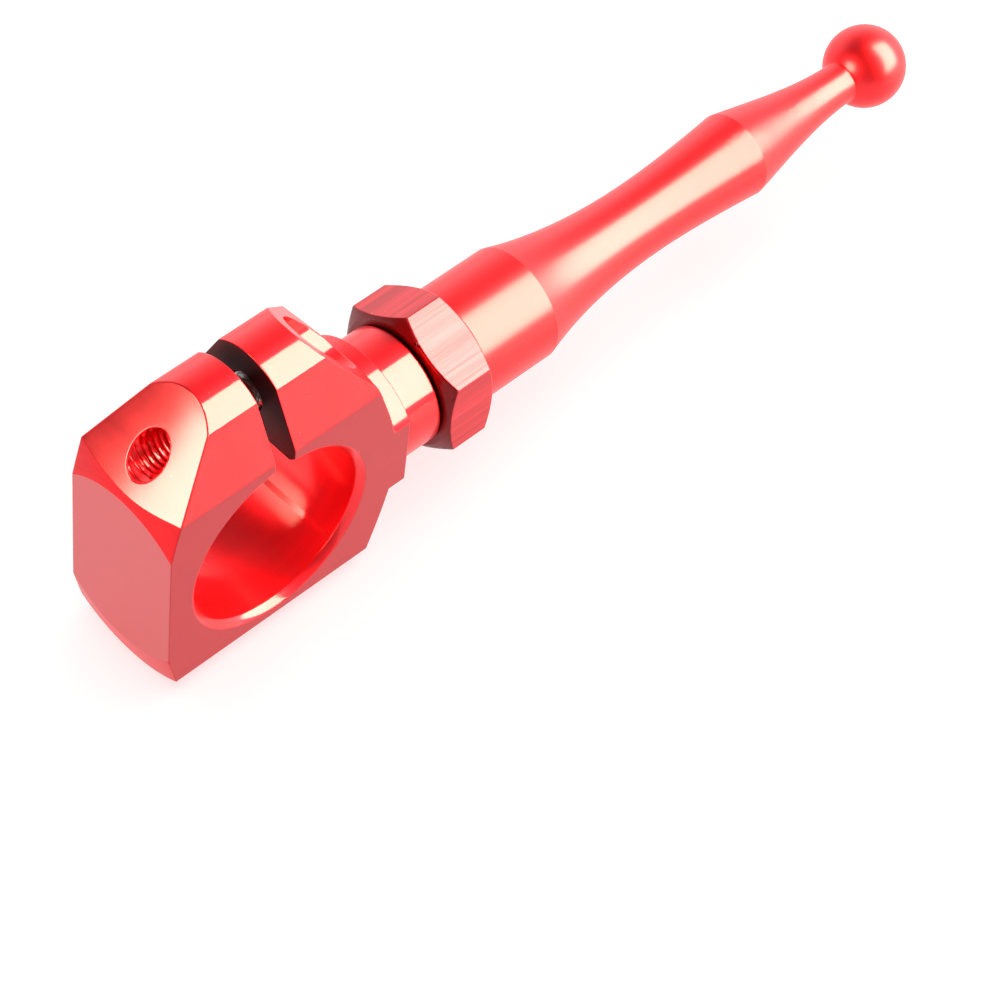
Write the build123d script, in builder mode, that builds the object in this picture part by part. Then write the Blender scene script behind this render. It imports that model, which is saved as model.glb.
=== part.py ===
"""Clamp-on control lever for a round tube, machined from aluminium and anodised red.

A split clamp body grips the tube (along Y) and is drawn shut by one cap screw across its slit. A stud in
the body's collar carries a jam nut and the turned lever arm, which points along +X and ends in a ball.
Millimetres. The origin is the middle of the tube bore, +Z is up through the slit.
"""

import os
from math import asin, degrees, pi, radians, sqrt, tan

from build123d import *

os.makedirs("parts", exist_ok=True)

# ---- driving dimensions ------------------------------------------------------------------------------

# clamp body
tube_diameter = 25.4
bore_clearance = 0.05
bore_rim_chamfer = 0.85
body_width = 17.4
back_wall = 4.45            # from the bore to the back end face
bottom_wall = 4.4           # from the bore to the bottom of the round blank
jaw_rise = 11.7             # from the bore to the top of the jaws
jaw_crown_radius = 7.5
jaw_crown_half_width = 4.95
jaw_shoulder_drop = 9.45    # from the top of the jaws to where the side flats begin
back_face_radius = 12.75
back_cone_rise = 3.3        # radial rise for each millimetre of length behind the end face
front_cone_rise = 2.35      # the same on the cone that comes down to the neck
neck_radius = 10.2
neck_wall = 7.85            # from the bore to the neck's end
neck_length = 2.6
collar_radius = 8.15
collar_length = 6.2
collar_edge_chamfer = 0.3
slit_width = 2.9
left_ramp_start = 7.1       # from the slit's middle plane to the top of the tapped jaw's ramp
left_ramp_slope = 1.08
right_ramp_start = 7.47     # from the slit's middle plane to the top of the plain jaw's ramp
right_ramp_slope = 1.195

# pinch screw, M5 socket head
pinch_rise = 5.1            # from the bore to the screw's axis
pinch_diameter = 5.0
pinch_length = 12.0
pinch_clearance = 0.05      # radial, thread to thread
pinch_through_clearance = 0.25
pinch_head_diameter = 8.5
pinch_head_height = 5.0
pinch_seat_wall = 2.2       # metal between the slit and the counterbore's floor
counterbore_clearance = 0.5
socket_across_flats = 4.0
socket_depth = 2.5
head_edge_chamfer = 0.4
tip_chamfer = 0.5

# stud, M10
stud_diameter = 10.0
stud_clearance = 0.05       # radial, thread to thread
stud_wall = 3.0             # metal left between the bore and the stud's blind hole
stud_hole_relief = 1.0      # free depth beyond each end of the stud
stud_end_chamfer = 0.8
stud_in_arm = 12.0

# jam nut
nut_across_flats = 18.7
nut_thickness = 7.6
nut_face_gap = 0.1          # between the nut and what it stands against, each side
nut_face_share = 0.95       # diameter of the nut's washer face over its width across flats
nut_chamfer_angle = 30.0
nut_turn = -2.2             # how far the nut stands turned from a corner straight up, in degrees
nut_hole_chamfer = 0.6

# lever arm, lengths measured from its seat against the nut
arm_barrel_radius = 7.92
arm_barrel_length = 12.4
arm_base_chamfer = 0.4
arm_flare_radius = 5.98
arm_flare_at = 20.8
arm_waist_radius = 4.92
arm_waist_at = 33.4
arm_grip_radius = 5.2
arm_grip_at = 43.4
arm_belly_radius = 5.97
arm_belly_at = 52.8
arm_taper_radius = 4.17
arm_taper_at = 61.8
arm_slim_radius = 3.03
arm_slim_at = 69.7
arm_neck_radius = 2.85
ball_radius = 5.63
ball_at = 78.8

# ---- worked-out places ---------------------------------------------------------------------------------

bore_radius = tube_diameter / 2 + bore_clearance
back_x = -(bore_radius + back_wall)
neck_end_x = bore_radius + neck_wall
neck_start_x = neck_end_x - neck_length
collar_end_x = neck_end_x + collar_length
blank_radius = bore_radius + bottom_wall
half_width = body_width / 2
jaw_height = bore_radius + jaw_rise
jaw_centre_z = jaw_height - jaw_crown_radius
crown_edge_z = jaw_centre_z + sqrt(jaw_crown_radius**2 - jaw_crown_half_width**2)
shoulder_z = jaw_height - jaw_shoulder_drop
slit_half = slit_width / 2

pinch_height = bore_radius + pinch_rise
thread_radius = pinch_diameter / 2
seat_x = slit_half + pinch_seat_wall
head_end_x = seat_x + pinch_head_height
tip_x = seat_x - pinch_length
counterbore_radius = pinch_head_diameter / 2 + counterbore_clearance

stud_radius = stud_diameter / 2
stud_hole_end_x = bore_radius + stud_wall
stud_start_x = stud_hole_end_x + stud_hole_relief
nut_start_x = collar_end_x + nut_face_gap
nut_end_x = nut_start_x + nut_thickness
arm_x = nut_end_x + nut_face_gap
stud_end_x = arm_x + stud_in_arm
ball_x = arm_x + ball_at


# Planes that face along the lever: their sketches have local x = Y and local y = Z.
def across_lever(x):
    return Plane(origin=(x, 0, 0), x_dir=(0, 1, 0), z_dir=(1, 0, 0))


side_plane = Plane.XZ       # local x = X, local y = Z, looking along the tube


def screw_plane(x):
    return Plane(origin=(x, 0, pinch_height), x_dir=(0, 1, 0), z_dir=(1, 0, 0))


# ---- clamp body ------------------------------------------------------------------------------------------

reach = jaw_height + 1.0    # beyond every corner of the body, for cuts and envelopes
back_cone_x = back_x + (reach - back_face_radius) / back_cone_rise
front_cone_x = neck_start_x - (reach - neck_radius) / front_cone_rise

with BuildPart() as clamp_body:
    # The section across the lever: crowned jaws above, flat sides, the round of the blank below.
    with BuildSketch(across_lever(back_x)):
        with BuildLine():
            crown_left = (-jaw_crown_half_width, crown_edge_z)
            crown_right = (jaw_crown_half_width, crown_edge_z)
            ThreePointArc(crown_left, (0, jaw_height), crown_right)
            Line(crown_right, (half_width, shoulder_z))
            foot_z = -sqrt(blank_radius**2 - half_width**2)
            Line((half_width, shoulder_z), (half_width, foot_z))
            ThreePointArc((half_width, foot_z), (0, -blank_radius), (-half_width, foot_z))
            Line((-half_width, foot_z), (-half_width, shoulder_z))
            Line((-half_width, shoulder_z), crown_left)
        make_face()
    extrude(amount=neck_end_x - back_x)

    # The turned envelope: end face, steep cone, then the cone down to the neck.
    with BuildSketch(side_plane):
        with BuildLine():
            Polyline(
                (back_x, 0),
                (back_x, back_face_radius),
                (back_cone_x, reach),
                (front_cone_x, reach),
                (neck_start_x, neck_radius),
                (neck_end_x, neck_radius),
                (neck_end_x, 0),
                close=True,
            )
        make_face()
    revolve(axis=Axis.X, mode=Mode.INTERSECT)

    # Ramps milled across the outside of both jaws.
    left_top = (-left_ramp_start, jaw_height)
    left_foot = (-left_ramp_start - 2 * reach / left_ramp_slope, jaw_height - 2 * reach)
    right_top = (right_ramp_start, jaw_height)
    right_foot = (neck_start_x, jaw_height - (neck_start_x - right_ramp_start) * right_ramp_slope)
    with BuildSketch(side_plane):
        with BuildLine():
            Polyline(left_top, left_foot, (left_foot[0], reach + 1), (left_top[0], reach + 1), close=True)
        make_face()
        with BuildLine():
            Polyline(right_top, right_foot, (right_foot[0], reach + 1), (right_top[0], reach + 1), close=True)
        make_face()
    extrude(amount=body_width, both=True, mode=Mode.SUBTRACT)

    # Tube bore, slit, and the collar that holds the stud.
    with BuildSketch(side_plane):
        Circle(bore_radius)
        with Locations((0, reach / 2)):
            Rectangle(slit_width, reach)
    extrude(amount=body_width, both=True, mode=Mode.SUBTRACT)
    with BuildSketch(across_lever(neck_end_x)):
        Circle(collar_radius)
    extrude(amount=collar_length)

    rims = clamp_body.edges().filter_by(GeomType.CIRCLE).filter_by(
        lambda edge: abs(edge.radius - bore_radius) < 1e-6 and abs(abs(edge.center().Y) - half_width) < 1e-3
    )
    chamfer(rims, bore_rim_chamfer)
    collar_rim = clamp_body.edges().filter_by(
        lambda edge: abs(edge.center().X - collar_end_x) < 1e-6 and abs(edge.length - 2 * pi * collar_radius) < 1e-3
    )
    chamfer(collar_rim, collar_edge_chamfer)

    # Pinch screw: tapped hole in the left jaw, clearance hole and counterbore in the right one.
    with BuildSketch(screw_plane(0)):
        Circle(thread_radius + pinch_clearance)
    extrude(amount=-reach, mode=Mode.SUBTRACT)
    with BuildSketch(screw_plane(0)):
        Circle(thread_radius + pinch_through_clearance)
    extrude(amount=seat_x + 1, mode=Mode.SUBTRACT)
    with BuildSketch(screw_plane(seat_x)):
        Circle(counterbore_radius)
    extrude(amount=reach, mode=Mode.SUBTRACT)

    # Blind hole for the stud.
    with BuildSketch(across_lever(collar_end_x)):
        Circle(stud_radius)
    extrude(amount=-(collar_end_x - stud_hole_end_x), mode=Mode.SUBTRACT)
clamp_body.part.label = "clamp_body"

# ---- pinch screw -----------------------------------------------------------------------------------------

with BuildPart() as pinch_screw:
    with BuildSketch(screw_plane(tip_x)):
        Circle(thread_radius)
    extrude(amount=seat_x - tip_x)
    with BuildSketch(screw_plane(seat_x)):
        Circle(pinch_head_diameter / 2)
    extrude(amount=pinch_head_height)
    chamfer(pinch_screw.edges().group_by(Axis.X)[-1], head_edge_chamfer)
    chamfer(pinch_screw.edges().group_by(Axis.X)[0], tip_chamfer)
    with BuildSketch(screw_plane(head_end_x)):
        RegularPolygon(socket_across_flats / 2, 6, major_radius=False)
    extrude(amount=-socket_depth, mode=Mode.SUBTRACT)
pinch_screw.part.label = "pinch_screw"

# ---- stud ------------------------------------------------------------------------------------------------

with BuildPart() as lever_stud:
    with BuildSketch(across_lever(stud_start_x)):
        Circle(stud_radius)
    extrude(amount=stud_end_x - stud_start_x)
    chamfer(lever_stud.edges().filter_by(GeomType.CIRCLE), stud_end_chamfer)
lever_stud.part.label = "lever_stud"

# ---- jam nut ---------------------------------------------------------------------------------------------

nut_face_radius = nut_across_flats * nut_face_share / 2
nut_corner_radius = nut_across_flats / sqrt(3)
nut_chamfer_run = (nut_corner_radius + 1 - nut_face_radius) * tan(radians(nut_chamfer_angle))

with BuildPart() as lock_nut:
    with BuildSketch(across_lever(nut_start_x)):
        RegularPolygon(nut_across_flats / 2, 6, major_radius=False, rotation=30 + nut_turn)
    extrude(amount=nut_thickness)
    with BuildSketch(side_plane):
        with BuildLine():
            Polyline(
                (nut_start_x, 0),
                (nut_start_x, nut_face_radius),
                (nut_start_x + nut_chamfer_run, nut_corner_radius + 1),
                (nut_end_x - nut_chamfer_run, nut_corner_radius + 1),
                (nut_end_x, nut_face_radius),
                (nut_end_x, 0),
                close=True,
            )
        make_face()
    revolve(axis=Axis.X, mode=Mode.INTERSECT)
    with BuildSketch(across_lever(nut_start_x)):
        Circle(stud_radius + stud_clearance)
    extrude(amount=nut_thickness, mode=Mode.SUBTRACT)
    nut_hole_rims = lock_nut.edges().filter_by(GeomType.CIRCLE).filter_by(
        lambda edge: abs(edge.radius - stud_radius - stud_clearance) < 1e-6
    )
    chamfer(nut_hole_rims, nut_hole_chamfer)
lock_nut.part.label = "lock_nut"

# ---- lever arm -------------------------------------------------------------------------------------------

neck_ball_x = ball_x - sqrt(ball_radius**2 - arm_neck_radius**2)
flare = (arm_x + arm_flare_at, arm_flare_radius)
waist = (arm_x + arm_waist_at, arm_waist_radius)
grip = (arm_x + arm_grip_at, arm_grip_radius)
belly = (arm_x + arm_belly_at, arm_belly_radius)
barrel_end = (arm_x + arm_barrel_length, arm_barrel_radius)
taper = (arm_x + arm_taper_at, arm_taper_radius)
slim = (arm_x + arm_slim_at, arm_slim_radius)

with BuildPart() as lever_arm:
    with BuildSketch(side_plane):
        with BuildLine():
            Polyline(
                (arm_x, 0),
                (arm_x, arm_barrel_radius - arm_base_chamfer),
                (arm_x + arm_base_chamfer, arm_barrel_radius),
                barrel_end,
            )
            Spline(barrel_end, flare, waist, grip, belly)
            Spline(belly, taper, slim, (neck_ball_x, arm_neck_radius))
            CenterArc((ball_x, 0), ball_radius, 0, 180 - degrees(asin(arm_neck_radius / ball_radius)))
            Line((ball_x + ball_radius, 0), (arm_x, 0))
        make_face()
    revolve(axis=Axis.X)
    with BuildSketch(across_lever(arm_x)):
        Circle(stud_radius + stud_clearance)
    extrude(amount=stud_in_arm + stud_hole_relief, mode=Mode.SUBTRACT)
lever_arm.part.label = "lever_arm"

# ---- output ----------------------------------------------------------------------------------------------

export_step(clamp_body.part, "parts/clamp_body.step")
export_step(pinch_screw.part, "parts/pinch_screw.step")
export_step(lever_stud.part, "parts/lever_stud.step")
export_step(lock_nut.part, "parts/lock_nut.step")
export_step(lever_arm.part, "parts/lever_arm.step")
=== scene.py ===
"""Red anodised clamp-on control lever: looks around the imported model. Metres, in the model's own frame."""

import math

import bmesh
import bpy
from mathutils import Matrix, Vector
from mathutils.geometry import intersect_line_line


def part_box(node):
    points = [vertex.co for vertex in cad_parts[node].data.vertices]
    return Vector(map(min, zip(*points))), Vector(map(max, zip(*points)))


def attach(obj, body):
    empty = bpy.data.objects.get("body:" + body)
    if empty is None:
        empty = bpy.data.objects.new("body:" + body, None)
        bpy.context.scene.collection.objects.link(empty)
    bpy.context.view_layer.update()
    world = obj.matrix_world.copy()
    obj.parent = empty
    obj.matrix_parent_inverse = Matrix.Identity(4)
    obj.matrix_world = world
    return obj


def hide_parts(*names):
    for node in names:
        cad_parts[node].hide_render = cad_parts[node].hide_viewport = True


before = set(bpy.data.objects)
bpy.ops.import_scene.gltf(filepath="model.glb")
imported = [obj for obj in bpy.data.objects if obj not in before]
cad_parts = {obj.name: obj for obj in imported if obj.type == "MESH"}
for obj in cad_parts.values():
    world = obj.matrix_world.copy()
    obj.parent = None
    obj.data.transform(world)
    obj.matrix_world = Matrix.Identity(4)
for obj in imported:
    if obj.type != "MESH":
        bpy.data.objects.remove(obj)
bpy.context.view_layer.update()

MM = 0.001

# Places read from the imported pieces.
BODY_LOW, BODY_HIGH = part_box("clamp_body")
SCREW_LOW, SCREW_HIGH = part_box("pinch_screw")
STUD_LOW, STUD_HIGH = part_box("lever_stud")
SCREW_AXIS_Z = (SCREW_LOW.z + SCREW_HIGH.z) / 2

# The clamp body: the tapped jaw's ramp, the bore, and where its slit, end face and side faces begin.
RAMP_SLOPE = 1.08
RAMP_TOP = Vector((-7.1 * MM, 0.0, BODY_HIGH.z))
RAMP_MIDDLE = Vector((-12.5 * MM, 0.0, 19.0 * MM))
RAMP_NORMAL = Vector((-RAMP_SLOPE, 0.0, 1.0)).normalized()
BORE_RADIUS = 12.75 * MM
SLIT_REACH = 2 * MM
END_FACE_X = -10 * MM
CONE_X = -13 * MM
SIDE_FACE_Y = 8.5 * MM
SQUARE_ON = 0.999

# The pinch screw.
SCREW_THREAD_RADIUS = 2.5 * MM
SCREW_HEAD_HEIGHT = 5.0 * MM
SCREW_HEAD_EDGE = 0.4 * MM
SOCKET_ACROSS_FLATS = 4.0 * MM
SOCKET_DEPTH = 2.2 * MM

# Camera: where it aims, how far off it stands and how it is turned.
AIM = Vector((23.83 * MM, -21.38 * MM, 0.0))
CAMERA_DISTANCE = 412.5 * MM
CAMERA_AZIMUTH = math.radians(-50.86)
CAMERA_ELEVATION = math.radians(51.45)
CAMERA_ROLL = math.radians(8.38)
FIELD_OF_VIEW = math.radians(16.49)

# Key softbox: its face looks across the lever, with two edges parallel to it.
KEY_TILT = math.radians(39.0)
KEY_HEIGHT = 1.0
KEY_SHIFT = 1.075
KEY_LENGTH = 1.4
KEY_DEPTH = 1.59
KEY_LUMINANCE = 23.0
WARM_WHITE = (1.0, 1.0, 0.7)
WHITE = (1.0, 1.0, 1.0)
# Side softbox, close to the tapped jaw's ramp: its far edge fades out across the ramp's middle.
SIDE_DISTANCE = 0.35
SIDE_SIZE = 0.2
SIDE_SHIFT = 0.0165
SIDE_LUMINANCE = 20.0
# Round fill high above the lever, and the floor's own glow.
FILL_PLACE = (0.05, 0.0, 1.2)
FILL_SIZE = 1.6
FILL_LUMINANCE = 2.2
FLOOR_SIZE = 6.0
FLOOR_GREY = 0.42
FLOOR_GLOW = 0.68
# Studio walls: brightness at each height of the gaze, and the bright side of the room with its share.
WALL_STEPS = ((0.2, 1.0), (0.5, 0.6), (0.8, 0.14))
BRIGHT_SIDE = (0.8, 0.6, 0.0)
BRIGHT_FROM, BRIGHT_TO = -0.15, 0.5
DIM_STRENGTH, BRIGHT_STRENGTH = 0.3, 1.8

# Edge breaks, and the angles at which an edge is broken or only kept crisp.
EDGE_BREAK = 0.15 * MM
BREAK_ANGLE = math.radians(22)
CRISP_ANGLE = math.radians(9)
THREAD_CRISP_ANGLE = math.radians(35)
# Neighbouring mesh faces closer than this in angle become one, and a face above this area is shaded flat.
SAME_FACE_ANGLE = math.radians(0.4)
FLAT_AREA = 45 * MM * MM

# Threads: pitch, depth as a share of the pitch, and rows of mesh for each turn.
M5_PITCH = 0.8 * MM
M10_PITCH = 1.5 * MM
THREAD_DEPTH = 0.6134
THREAD_ROWS = 14
ROUND = 72
HOLE_CLEARANCE = 0.05 * MM
KNURL_TEETH = 36
KNURL_DEPTH = 0.12 * MM

scene = bpy.context.scene
scene.view_settings.view_transform = "Standard"


# ---- camera, light and floor ---------------------------------------------------------------------------


def make_camera():
    """A long lens that looks down at the lever from its left, near side, slightly rolled."""
    data = bpy.data.cameras.new("studio_camera")
    data.sensor_width = 36.0
    data.angle = FIELD_OF_VIEW
    data.clip_start = 0.01
    camera = bpy.data.objects.new("studio_camera", data)
    scene.collection.objects.link(camera)
    back = Vector((
        math.sin(CAMERA_AZIMUTH) * math.cos(CAMERA_ELEVATION),
        -math.cos(CAMERA_AZIMUTH) * math.cos(CAMERA_ELEVATION),
        math.sin(CAMERA_ELEVATION),
    ))
    level_right = Vector((math.cos(CAMERA_AZIMUTH), math.sin(CAMERA_AZIMUTH), 0.0))
    level_up = back.cross(level_right)
    right = level_right * math.cos(CAMERA_ROLL) + level_up * math.sin(CAMERA_ROLL)
    up = back.cross(right)
    turn = Matrix((right, up, back)).transposed().to_4x4()
    camera.matrix_world = Matrix.Translation(AIM + back * CAMERA_DISTANCE) @ turn
    scene.camera = camera


def make_world():
    """A bright horizon that falls off towards a dim ceiling, and is dimmer in front of the lever."""
    world = bpy.data.worlds.new("studio")
    scene.world = world
    world.use_nodes = True
    tree = world.node_tree
    nodes, links = tree.nodes, tree.links
    background = nodes["Background"]
    coordinates = nodes.new("ShaderNodeTexCoord")
    split = nodes.new("ShaderNodeSeparateXYZ")
    ramp = nodes.new("ShaderNodeValToRGB")
    links.new(coordinates.outputs["Generated"], split.inputs["Vector"])
    links.new(split.outputs["Z"], ramp.inputs["Fac"])
    stops = ramp.color_ramp.elements
    stops.remove(stops[1])
    for index, (height, grey) in enumerate(WALL_STEPS):
        stop = stops[0] if index == 0 else stops.new(height)
        stop.position = height
        stop.color = (grey, grey, grey, 1.0)
    links.new(ramp.outputs["Color"], background.inputs["Color"])
    behind = nodes.new("ShaderNodeVectorMath")
    behind.operation = "DOT_PRODUCT"
    behind.inputs[1].default_value = BRIGHT_SIDE
    links.new(coordinates.outputs["Generated"], behind.inputs[0])
    strength = nodes.new("ShaderNodeMapRange")
    strength.interpolation_type = "SMOOTHSTEP"
    strength.inputs["From Min"].default_value = BRIGHT_FROM
    strength.inputs["From Max"].default_value = BRIGHT_TO
    strength.inputs["To Min"].default_value = DIM_STRENGTH
    strength.inputs["To Max"].default_value = BRIGHT_STRENGTH
    links.new(behind.outputs["Value"], strength.inputs["Value"])
    links.new(strength.outputs["Result"], background.inputs["Strength"])


def make_light(name, place, facing, across, shape, width, height, luminance, tint):
    """An area light at a place. Its luminance is what a mirror would show of it."""
    data = bpy.data.lights.new(name, "AREA")
    data.shape = shape
    data.size, data.size_y = width, height
    area = width * height * (math.pi / 4 if shape in ("DISK", "ELLIPSE") else 1.0)
    data.energy = luminance * area * math.pi
    data.color = tint
    light = bpy.data.objects.new(name, data)
    scene.collection.objects.link(light)
    away = -Vector(facing).normalized()
    side = Vector(across) - away * away.dot(Vector(across))
    side.normalize()
    turn = Matrix((side, away.cross(side), away)).transposed().to_4x4()
    light.matrix_world = Matrix.Translation(Vector(place)) @ turn
    return light


def make_lights():
    """Two softboxes that only the polished metal sees, and a fill that only lights the floor."""
    towards_key = Vector((0.0, -math.sin(KEY_TILT), math.cos(KEY_TILT)))
    key = make_light(
        "key_softbox", towards_key * KEY_HEIGHT + Vector((KEY_SHIFT, 0, 0)), -towards_key, (1, 0, 0),
        "RECTANGLE", KEY_LENGTH, KEY_DEPTH, KEY_LUMINANCE, WARM_WHITE,
    )
    towards_camera = (scene.camera.matrix_world.translation - RAMP_MIDDLE).normalized()
    mirrored = RAMP_NORMAL * (2 * RAMP_NORMAL.dot(towards_camera)) - towards_camera
    side_place = RAMP_MIDDLE + mirrored * SIDE_DISTANCE - Vector((0, SIDE_SIZE / 2 + SIDE_SHIFT, 0))
    side = make_light(
        "side_softbox", side_place, -mirrored, (0, 1, 0), "RECTANGLE", SIDE_SIZE, SIDE_SIZE, SIDE_LUMINANCE,
        WARM_WHITE,
    )
    fill = make_light(
        "floor_fill", FILL_PLACE, (0, 0, -1), (1, 0, 0), "DISK", FILL_SIZE, FILL_SIZE, FILL_LUMINANCE, WHITE,
    )
    for light in (key, side):
        light.visible_diffuse = False
    fill.visible_glossy = False


def make_floor():
    """A pale table under the lever."""
    bpy.ops.mesh.primitive_plane_add(size=FLOOR_SIZE, location=(0, 0, BODY_LOW.z))
    floor = bpy.context.object
    floor.name = "floor"
    material = bpy.data.materials.new("white_table")
    material.use_nodes = True
    shader = material.node_tree.nodes["Principled BSDF"]
    shader.inputs["Base Color"].default_value = (FLOOR_GREY, FLOOR_GREY, FLOOR_GREY, 1.0)
    shader.inputs["Roughness"].default_value = 0.6
    shader.inputs["Specular IOR Level"].default_value = 0.1
    shader.inputs["Emission Color"].default_value = (1.0, 1.0, 1.0, 1.0)
    shader.inputs["Emission Strength"].default_value = FLOOR_GLOW
    floor.data.materials.append(material)


# ---- materials ------------------------------------------------------------------------------------------


def new_group(name, inputs, outputs):
    """An empty node group with named sockets, each given as (name, kind, default)."""
    group = bpy.data.node_groups.new(name, "ShaderNodeTree")
    for socket_name, kind, value in inputs:
        socket = group.interface.new_socket(socket_name, in_out="INPUT", socket_type=kind)
        socket.default_value = value
    for socket_name, kind in outputs:
        group.interface.new_socket(socket_name, in_out="OUTPUT", socket_type=kind)
    return group, group.nodes.new("NodeGroupInput"), group.nodes.new("NodeGroupOutput")


def maths(tree, operation, first, second):
    """A maths node's result. first and second are numbers or sockets."""
    node = tree.nodes.new("ShaderNodeMath")
    node.operation = operation
    for socket, value in zip(node.inputs, (first, second)):
        if isinstance(value, (int, float)):
            socket.default_value = value
        else:
            tree.links.new(value, socket)
    return node.outputs["Value"]


def tool_marks_group():
    """Fine straight or round lines that a cutter leaves: a height, and a roughness and shade that follow it.

    Across says how many lines there are for each metre in x, y and z, so a small number runs along the lines.
    """
    group, given, made = new_group(
        "tool_marks",
        [
            ("Across", "NodeSocketVector", (0.0, 0.0, 0.0)),
            ("Roughness", "NodeSocketFloat", 0.3),
            ("Roughness Spread", "NodeSocketFloat", 0.1),
            ("Shade Spread", "NodeSocketFloat", 0.2),
        ],
        [("Height", "NodeSocketFloat"), ("Roughness", "NodeSocketFloat"), ("Shade", "NodeSocketFloat")],
    )
    links = group.links
    place = group.nodes.new("ShaderNodeTexCoord")
    stretch = group.nodes.new("ShaderNodeVectorMath")
    stretch.operation = "MULTIPLY"
    links.new(place.outputs["Object"], stretch.inputs[0])
    links.new(given.outputs["Across"], stretch.inputs[1])
    fine = group.nodes.new("ShaderNodeTexNoise")
    fine.inputs["Scale"].default_value = 1.0
    fine.inputs["Detail"].default_value = 3.0
    fine.inputs["Roughness"].default_value = 0.6
    links.new(stretch.outputs["Vector"], fine.inputs["Vector"])
    broad = group.nodes.new("ShaderNodeTexNoise")
    broad.inputs["Scale"].default_value = 0.16
    broad.inputs["Detail"].default_value = 2.0
    links.new(stretch.outputs["Vector"], broad.inputs["Vector"])
    both = maths(group, "ADD", maths(group, "MULTIPLY", fine.outputs["Fac"], 0.6),
                 maths(group, "MULTIPLY", broad.outputs["Fac"], 0.4))
    around_zero = maths(group, "SUBTRACT", both, 0.5)
    rough = maths(group, "ADD", given.outputs["Roughness"],
                  maths(group, "MULTIPLY", around_zero, given.outputs["Roughness Spread"]))
    shade = maths(group, "ADD", 1.0, maths(group, "MULTIPLY", around_zero, given.outputs["Shade Spread"]))
    links.new(both, made.inputs["Height"])
    links.new(rough, made.inputs["Roughness"])
    links.new(shade, made.inputs["Shade"])
    return group


def handling_wear_group():
    """Small scattered nicks where the surface has been touched by other metal: a mask."""
    group, given, made = new_group(
        "handling_wear",
        [("Nicks Per Metre", "NodeSocketFloat", 2600.0), ("Amount", "NodeSocketFloat", 0.03)],
        [("Mask", "NodeSocketFloat")],
    )
    links = group.links
    place = group.nodes.new("ShaderNodeTexCoord")
    small = group.nodes.new("ShaderNodeTexNoise")
    small.inputs["Detail"].default_value = 2.0
    links.new(place.outputs["Object"], small.inputs["Vector"])
    links.new(given.outputs["Nicks Per Metre"], small.inputs["Scale"])
    patches = group.nodes.new("ShaderNodeTexNoise")
    patches.inputs["Scale"].default_value = 130.0
    links.new(place.outputs["Object"], patches.inputs["Vector"])
    level = maths(group, "ADD", small.outputs["Fac"], maths(group, "MULTIPLY", patches.outputs["Fac"], 0.35))
    limit = maths(group, "SUBTRACT", 0.98, given.outputs["Amount"])
    nick = group.nodes.new("ShaderNodeClamp")
    links.new(maths(group, "MULTIPLY", maths(group, "SUBTRACT", level, limit), 14.0), nick.inputs["Value"])
    links.new(nick.outputs["Result"], made.inputs["Mask"])
    return group


def metal(name, colour, nick_colour, across, roughness, spreads, bump, nicks, coat=None, sheer=None):
    """Machined metal. coat is (IOR, roughness, weight) of the clear anodised skin, or None for bare metal.

    sheer is (metallic, IOR) where the skin is so thin that it follows every cutter line.
    """
    material = bpy.data.materials.new(name)
    material.use_nodes = True
    tree = material.node_tree
    links = tree.links
    shader = tree.nodes["Principled BSDF"]
    shader.inputs["Metallic"].default_value = 1.0
    if sheer:
        shader.inputs["Metallic"].default_value = sheer[0]
        shader.inputs["IOR"].default_value = sheer[1]

    marks = tree.nodes.new("ShaderNodeGroup")
    marks.node_tree = tool_marks
    marks.inputs["Across"].default_value = across
    marks.inputs["Roughness"].default_value = roughness
    marks.inputs["Roughness Spread"].default_value = spreads[0]
    marks.inputs["Shade Spread"].default_value = spreads[1]
    wear = tree.nodes.new("ShaderNodeGroup")
    wear.node_tree = handling_wear
    wear.inputs["Amount"].default_value = nicks

    shaded = tree.nodes.new("ShaderNodeVectorMath")
    shaded.operation = "MULTIPLY"
    shaded.inputs[0].default_value = colour
    links.new(marks.outputs["Shade"], shaded.inputs[1])
    mix = tree.nodes.new("ShaderNodeMix")
    mix.data_type = "RGBA"
    mix.inputs["B"].default_value = (*nick_colour, 1.0)
    links.new(shaded.outputs["Vector"], mix.inputs["A"])
    links.new(wear.outputs["Mask"], mix.inputs["Factor"])
    links.new(mix.outputs["Result"], shader.inputs["Base Color"])
    links.new(marks.outputs["Roughness"], shader.inputs["Roughness"])

    relief = tree.nodes.new("ShaderNodeBump")
    relief.inputs["Distance"].default_value = bump
    relief.inputs["Strength"].default_value = 1.0
    links.new(marks.outputs["Height"], relief.inputs["Height"])
    links.new(relief.outputs["Normal"], shader.inputs["Normal"])
    if coat:
        shader.inputs["Coat IOR"].default_value = coat[0]
        shader.inputs["Coat Roughness"].default_value = coat[1]
        skin = tree.nodes.new("ShaderNodeMath")
        skin.operation = "MULTIPLY"
        skin.inputs[1].default_value = coat[2]
        links.new(marks.outputs["Shade"], skin.inputs[0])
        links.new(skin.outputs["Value"], shader.inputs["Coat Weight"])
    return material


# ---- pieces ---------------------------------------------------------------------------------------------


def object_from(name, mesh, materials, body, replaced=None):
    """An object that rides on a body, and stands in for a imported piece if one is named."""
    for material in materials:
        mesh.materials.append(material)
    piece = bpy.data.objects.new(name, mesh)
    scene.collection.objects.link(piece)
    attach(piece, body)
    if replaced:
        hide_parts(replaced)
    return piece


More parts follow.
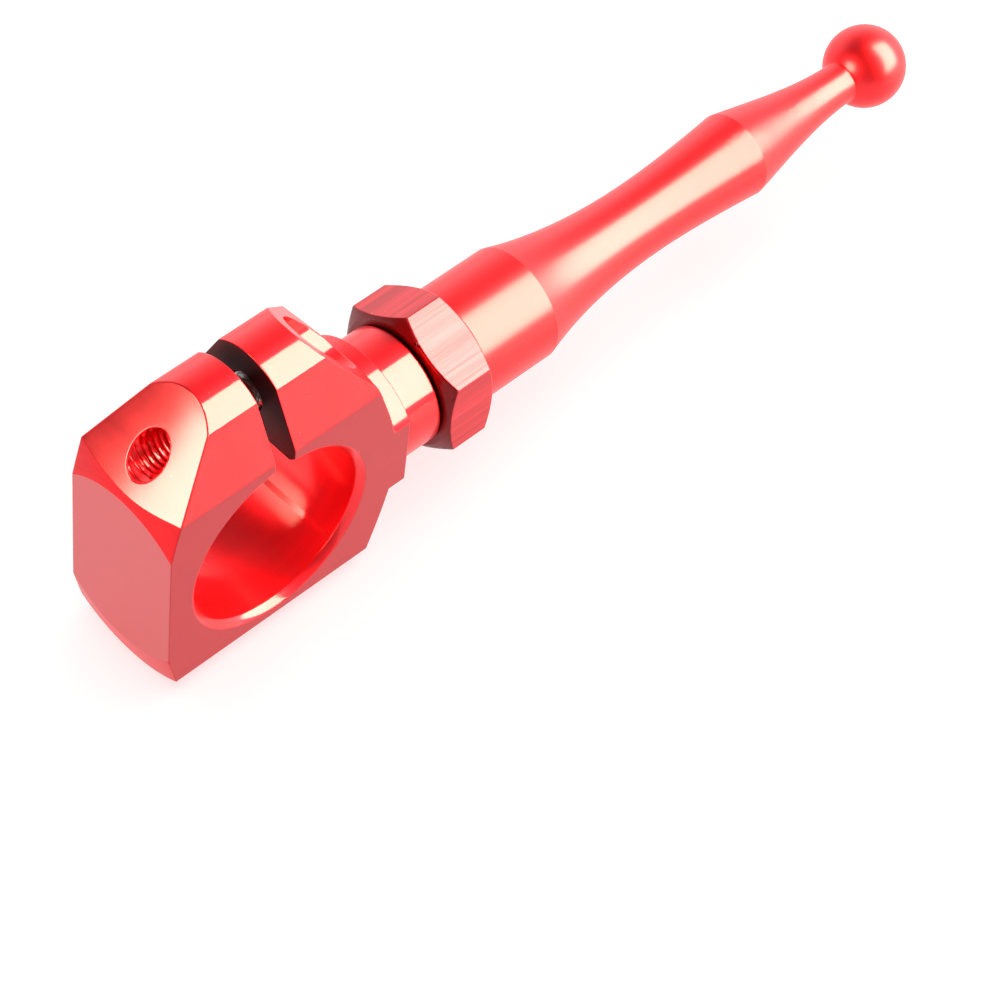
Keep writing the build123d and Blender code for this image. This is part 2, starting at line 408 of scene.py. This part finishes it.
def finished_copy(node, name, body, materials, pick):
    """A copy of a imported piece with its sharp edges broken, which stands in for it.

    pick(normal, centre) says which of the materials a face takes.
    """
    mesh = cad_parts[node].data.copy()
    work = bmesh.new()
    work.from_mesh(mesh)
    bmesh.ops.remove_doubles(work, verts=work.verts, dist=1e-6)
    bmesh.ops.dissolve_limit(
        work, angle_limit=SAME_FACE_ANGLE, verts=work.verts, edges=work.edges, delimit=set()
    )
    for edge in work.edges:
        if len(edge.link_faces) == 2 and CRISP_ANGLE < edge.calc_face_angle(0.0) < BREAK_ANGLE:
            edge.smooth = False
    for face in work.faces:
        face.smooth = True
        face.material_index = pick(face.normal, face.calc_center_median())
    mesh.materials.clear()
    work.to_mesh(mesh)
    work.free()
    if "custom_normal" in mesh.attributes:
        mesh.attributes.remove(mesh.attributes["custom_normal"])
    piece = object_from(name, mesh, materials, body, node)
    bevel = piece.modifiers.new("edge_break", "BEVEL")
    bevel.width = EDGE_BREAK
    bevel.segments = 2
    bevel.limit_method = "ANGLE"
    bevel.angle_limit = BREAK_ANGLE
    bevel.use_clamp_overlap = False
    close_crossed_tips(applied(piece))
    weights = piece.modifiers.new("flat_faces", "WEIGHTED_NORMAL")
    weights.mode = "FACE_AREA"
    weights.keep_sharp = True
    shade_flats_flat(applied(piece))
    return piece


def applied(piece):
    """Applies a piece's modifiers and returns its new mesh."""
    mesh = bpy.data.meshes.new_from_object(piece.evaluated_get(bpy.context.evaluated_depsgraph_get()))
    piece.modifiers.clear()
    piece.data = mesh
    return mesh


def close_crossed_tips(mesh):
    """Joins the two corners that an edge break leaves crossed over at a flat face's very sharp tip."""
    work = bmesh.new()
    work.from_mesh(mesh)
    crossed = []
    for face in work.faces:
        if face.calc_area() < FLAT_AREA:
            continue
        for loop in face.loops:
            tip, ahead, behind = loop.vert, loop.link_loop_next, loop.link_loop_prev
            before = tip.co - behind.vert.co
            after = ahead.vert.co - tip.co
            turns_back = before.dot(after) < 0 and before.cross(after).dot(face.normal) < 0
            if turns_back and after.length < 2 * EDGE_BREAK:
                crossed.append((behind.vert, tip, ahead.vert, ahead.link_loop_next.vert))
            elif turns_back and before.length < 2 * EDGE_BREAK:
                crossed.append((ahead.vert, tip, behind.vert, behind.link_loop_prev.vert))
    for start, tip, other, end in crossed:
        meeting = intersect_line_line(start.co, tip.co, other.co, end.co)[0]
        bmesh.ops.pointmerge(work, verts=[tip, other], merge_co=meeting)
    work.to_mesh(mesh)
    work.free()


def shade_flats_flat(mesh):
    """Gives a mesh's large flat faces their own normal right up to the edges."""
    normals = [corner.vector.copy() for corner in mesh.corner_normals]
    for face in mesh.polygons:
        if face.area > FLAT_AREA:
            for corner in face.loop_indices:
                normals[corner] = face.normal
    mesh.normals_split_custom_set(normals)


def thread_share(turns):
    """How deep a thread is at this many turns: 0 on its crest and 1 in its root."""
    part = turns % 1.0
    if part < 0.125:
        return 0.0
    if part < 0.4375:
        return (part - 0.125) / 0.3125
    if part < 0.6875:
        return 1.0
    return 1.0 - (part - 0.6875) / 0.3125


def rings_to_mesh(name, rings, loop):
    """Joins rings of points into one closed skin: end faces, or a loop from the last ring to the first."""
    work = bmesh.new()
    rows = [[work.verts.new(point) for point in ring] for ring in rings]
    pairs = list(zip(rows, rows[1:] + rows[:1])) if loop else list(zip(rows, rows[1:]))
    for near, far in pairs:
        for i in range(ROUND):
            j = (i + 1) % ROUND
            work.faces.new((near[i], near[j], far[j], far[i]))
    if not loop:
        work.faces.new(rows[0])
        work.faces.new(rows[-1])
    bmesh.ops.recalc_face_normals(work, faces=work.faces)
    for edge in work.edges:
        edge.smooth = edge.calc_face_angle(0.0) < THREAD_CRISP_ANGLE
    for face in work.faces:
        face.smooth = True
    mesh = bpy.data.meshes.new(name)
    work.to_mesh(mesh)
    work.free()
    return mesh


def ring(x, centre_z, radius_at):
    """A ring of points about an axis along X. x and radius_at are numbers or functions of the angle."""
    points = []
    for i in range(ROUND):
        angle = 2 * math.pi * i / ROUND
        radius = radius_at(angle) if callable(radius_at) else radius_at
        along = x(angle, radius) if callable(x) else x
        points.append((along, radius * math.cos(angle), centre_z + radius * math.sin(angle)))
    return points


def threaded_rings(low_x, high_x, centre_z, radius, pitch, chamfers):
    """Rings of a right-handed outside thread. chamfers gives the length of the bevel at each end."""
    count = round((high_x - low_x) / pitch * THREAD_ROWS)
    rings = []
    for i in range(count + 1):
        x = low_x + (high_x - low_x) * i / count
        limit = radius
        if chamfers[0]:
            limit = min(limit, radius - chamfers[0] + (x - low_x))
        if chamfers[1]:
            limit = min(limit, radius - chamfers[1] + (high_x - x))

        def radius_at(angle, x=x, limit=limit):
            depth = thread_share(x / pitch - angle / (2 * math.pi)) * THREAD_DEPTH * pitch
            return min(radius - depth, limit)

        rings.append(ring(x, centre_z, radius_at))
    return rings


def make_pinch_screw(material):
    """Cap screw: threaded shank, knurled head and hexagon socket."""
    head = (SCREW_HIGH.z - SCREW_LOW.z) / 2
    end = SCREW_HIGH.x
    seat = end - SCREW_HEAD_HEIGHT
    knurl_root = head - KNURL_DEPTH
    socket_radius = SOCKET_ACROSS_FLATS / 2

    def knurl(angle):
        return head - KNURL_DEPTH * (1 - math.cos(KNURL_TEETH * angle)) / 2

    def hexagon(angle):
        off_flat = (angle + math.pi / 6) % (math.pi / 3) - math.pi / 6
        return socket_radius / math.cos(off_flat)

    rings = threaded_rings(SCREW_LOW.x, seat, SCREW_AXIS_Z, SCREW_THREAD_RADIUS, M5_PITCH, (0.5 * MM, 0))
    for x, radius_at in (
        (seat, head - 0.25 * MM),
        (seat + 0.25 * MM, knurl_root),
        (seat + 0.6 * MM, knurl),
        (end - 1.1 * MM, knurl),
        (end - 0.7 * MM, knurl_root),
        (end - SCREW_HEAD_EDGE, knurl_root),
        (end, knurl_root - SCREW_HEAD_EDGE),
        (end, socket_radius + 0.42 * MM),
        (end - 0.14 * MM, hexagon),
        (end - SOCKET_DEPTH, hexagon),
        (end - SOCKET_DEPTH - 0.3 * MM, socket_radius - 0.5 * MM),
    ):
        rings.append(ring(x, SCREW_AXIS_Z, radius_at))
    mesh = rings_to_mesh("threaded_cap_screw", rings, False)
    return object_from("threaded_cap_screw", mesh, [material], "pinch_screw", "pinch_screw")


def make_stud(material):
    """Stud threaded from end to end."""
    rings = threaded_rings(
        STUD_LOW.x, STUD_HIGH.x, 0.0, (STUD_HIGH.z - STUD_LOW.z) / 2, M10_PITCH, (0.8 * MM, 0.8 * MM)
    )
    mesh = rings_to_mesh("threaded_stud", rings, False)
    return object_from("threaded_stud", mesh, [material], "clamp", "lever_stud")


def make_tapped_thread(material):
    """The turns of thread left open in the tapped jaw, between its ramp and the screw's tip."""
    wall = SCREW_THREAD_RADIUS + HOLE_CLEARANCE - 0.002 * MM
    root = wall - 0.02 * MM
    crest = wall - THREAD_DEPTH * 0.85 * M5_PITCH
    inner_x = SCREW_LOW.x - 0.05 * MM
    rows = 8 * THREAD_ROWS

    def place(share):
        def along(angle, radius):
            height = SCREW_AXIS_Z + radius * math.sin(angle)
            mouth_x = RAMP_TOP.x - (RAMP_TOP.z - height) / RAMP_SLOPE + 0.08 * MM
            return mouth_x + (inner_x - mouth_x) * share
        return along

    inside = []
    for i in range(rows + 1):
        along = place(i / rows)
        points = []
        for k in range(ROUND):
            angle = 2 * math.pi * k / ROUND
            x = along(angle, wall)
            height = 1 - thread_share(x / M5_PITCH - angle / (2 * math.pi) + 0.5)
            opened = min(1.0, (x - place(0.0)(angle, wall)) / (0.6 * MM))
            radius = root - (root - crest) * (1 - height) * opened
            x = along(angle, radius)
            points.append((x, radius * math.cos(angle), SCREW_AXIS_Z + radius * math.sin(angle)))
        inside.append(points)
    outside = [ring(place(share), SCREW_AXIS_Z, wall) for share in (1.0, 0.5, 0.0)]
    mesh = rings_to_mesh("tapped_thread", inside + outside, True)
    return object_from("tapped_thread", mesh, [material], "clamp")


make_camera()
make_world()
make_lights()
make_floor()

tool_marks = tool_marks_group()
handling_wear = handling_wear_group()

RED = (0.85, 0.010, 0.018)
RED_NICK = (0.9, 0.3, 0.28)
STEEL = (0.62, 0.62, 0.6)
STEEL_NICK = (0.3, 0.29, 0.28)

red_turned = metal(
    "red_turned", RED, RED_NICK, (5200.0, 25.0, 25.0), 0.42, (0.16, 0.3), 0.004 * MM, 0.02,
    coat=(1.9, 0.09, 0.35),
)
red_arm = metal(
    "red_arm", RED, RED_NICK, (4200.0, 15.0, 15.0), 0.44, (0.12, 0.22), 0.003 * MM, 0.015,
    coat=(1.9, 0.26, 0.31),
)
red_milled = metal(
    "red_milled", RED, RED_NICK, (1700.0, 25.0, 1700.0), 0.09, (0.05, 0.5), 0.016 * MM, 0.02,
    sheer=(0.62, 2.0),
)
red_bored = metal(
    "red_bored", RED, RED_NICK, (25.0, 4200.0, 25.0), 0.42, (0.16, 0.3), 0.004 * MM, 0.02,
    coat=(1.9, 0.14, 0.35),
)
red_cone = metal(
    "red_cone", (0.62, 0.008, 0.014), RED_NICK, (4200.0, 30.0, 30.0), 0.4, (0.2, 0.8), 0.012 * MM, 0.02,
    coat=(1.6, 0.2, 0.15),
)
red_end_face = metal(
    "red_end_face", (0.55, 0.03, 0.036), RED_NICK, (90.0, 700.0, 700.0), 0.45, (0.1, 0.1), 0.002 * MM, 0.02,
    coat=(1.9, 0.28, 0.56),
)
# Side flats: the clamp's anodised red darkened as painted shade, the shadow of the tube the clamp grips.
red_side_flat_painted_shade = metal(
    "red_side_flat_painted_shade", (0.45, 0.012, 0.02), RED_NICK, (60.0, 60.0, 2200.0), 0.45, (0.12, 0.2), 0.004 * MM,
    0.02, coat=(1.7, 0.2, 0.35),
)
# Slit walls: rougher saw-cut faces, with a near-black colour that is painted shade inside the narrow slit.
red_slit_cut_painted_shade = metal(
    "red_slit_cut_painted_shade", (0.08, 0.003, 0.005), RED_NICK, (60.0, 60.0, 2500.0), 0.5, (0.2, 0.5), 0.01 * MM, 0.0,
    coat=(1.5, 0.3, 0.05),
)
red_drawn_flats = metal(
    "red_drawn_flats", (0.58, 0.02, 0.03), RED_NICK, (40.0, 2400.0, 2400.0), 0.36, (0.3, 2.2), 0.014 * MM,
    0.03, coat=(1.9, 0.24, 0.15),
)
# Nut end faces and corner bevels: the anodised red darkened almost to black, painted shade between the nut
# and the collar and arm.
red_nut_face_painted_shade = metal(
    "red_nut_face_painted_shade", (0.16, 0.004, 0.007), RED_NICK, (60.0, 900.0, 900.0), 0.4, (0.2, 0.4), 0.006 * MM, 0.02,
    coat=(1.6, 0.16, 0.25),
)
zinc_steel = metal(
    "zinc_steel", STEEL, STEEL_NICK, (4000.0, 80.0, 80.0), 0.3, (0.2, 0.3), 0.003 * MM, 0.03
)

# Finishes of the clamp and the nut; the side-flat, slit-wall and nut-face colours among them are painted
# shade.
CLAMP_FINISHES_AND_SHADES = [red_turned, red_milled, red_cone, red_end_face, red_side_flat_painted_shade, red_slit_cut_painted_shade, red_bored]
NUT_FINISHES_AND_SHADE = [red_drawn_flats, red_nut_face_painted_shade]


def clamp_finish_or_shade(normal, centre):
    """Which finish a face of the clamp body has, by the way it faces; the side flats and the slit walls take
    darkened colours that are painted shade.
    """
    if normal.dot(RAMP_NORMAL) > SQUARE_ON:
        return CLAMP_FINISHES_AND_SHADES.index(red_milled)
    if abs(normal.x) > SQUARE_ON and abs(centre.x) < SLIT_REACH and centre.z > 0:
        return CLAMP_FINISHES_AND_SHADES.index(red_slit_cut_painted_shade)
    if normal.x < -SQUARE_ON and centre.x < END_FACE_X:
        return CLAMP_FINISHES_AND_SHADES.index(red_end_face)
    if normal.x < -0.94 and centre.x < CONE_X:
        return CLAMP_FINISHES_AND_SHADES.index(red_cone)
    if abs(normal.y) > SQUARE_ON and abs(centre.y) > SIDE_FACE_Y:
        return CLAMP_FINISHES_AND_SHADES.index(red_side_flat_painted_shade)
    if math.hypot(centre.x, centre.z) < BORE_RADIUS + 0.3 * MM and abs(normal.y) < 0.9:
        return CLAMP_FINISHES_AND_SHADES.index(red_bored)
    return CLAMP_FINISHES_AND_SHADES.index(red_turned)


def nut_finish_or_shade(normal, centre):
    """The nut's end faces and corner bevels are turned and take a near-black colour that is painted shade
    against the collar and arm; its six flats are drawn.
    """
    return NUT_FINISHES_AND_SHADE.index(red_nut_face_painted_shade if abs(normal.x) > 0.4 else red_drawn_flats)


def one_finish(normal, centre):
    """The first finish, all over."""
    return 0


finished_copy("clamp_body", "clamp_body_finished", "clamp", CLAMP_FINISHES_AND_SHADES, clamp_finish_or_shade)
finished_copy("lock_nut", "lock_nut_finished", "lock_nut", NUT_FINISHES_AND_SHADE, nut_finish_or_shade)
finished_copy("lever_arm", "lever_arm_finished", "lever_arm", [red_arm], one_finish)
make_pinch_screw(zinc_steel)
make_stud(zinc_steel)
make_tapped_thread(red_turned)
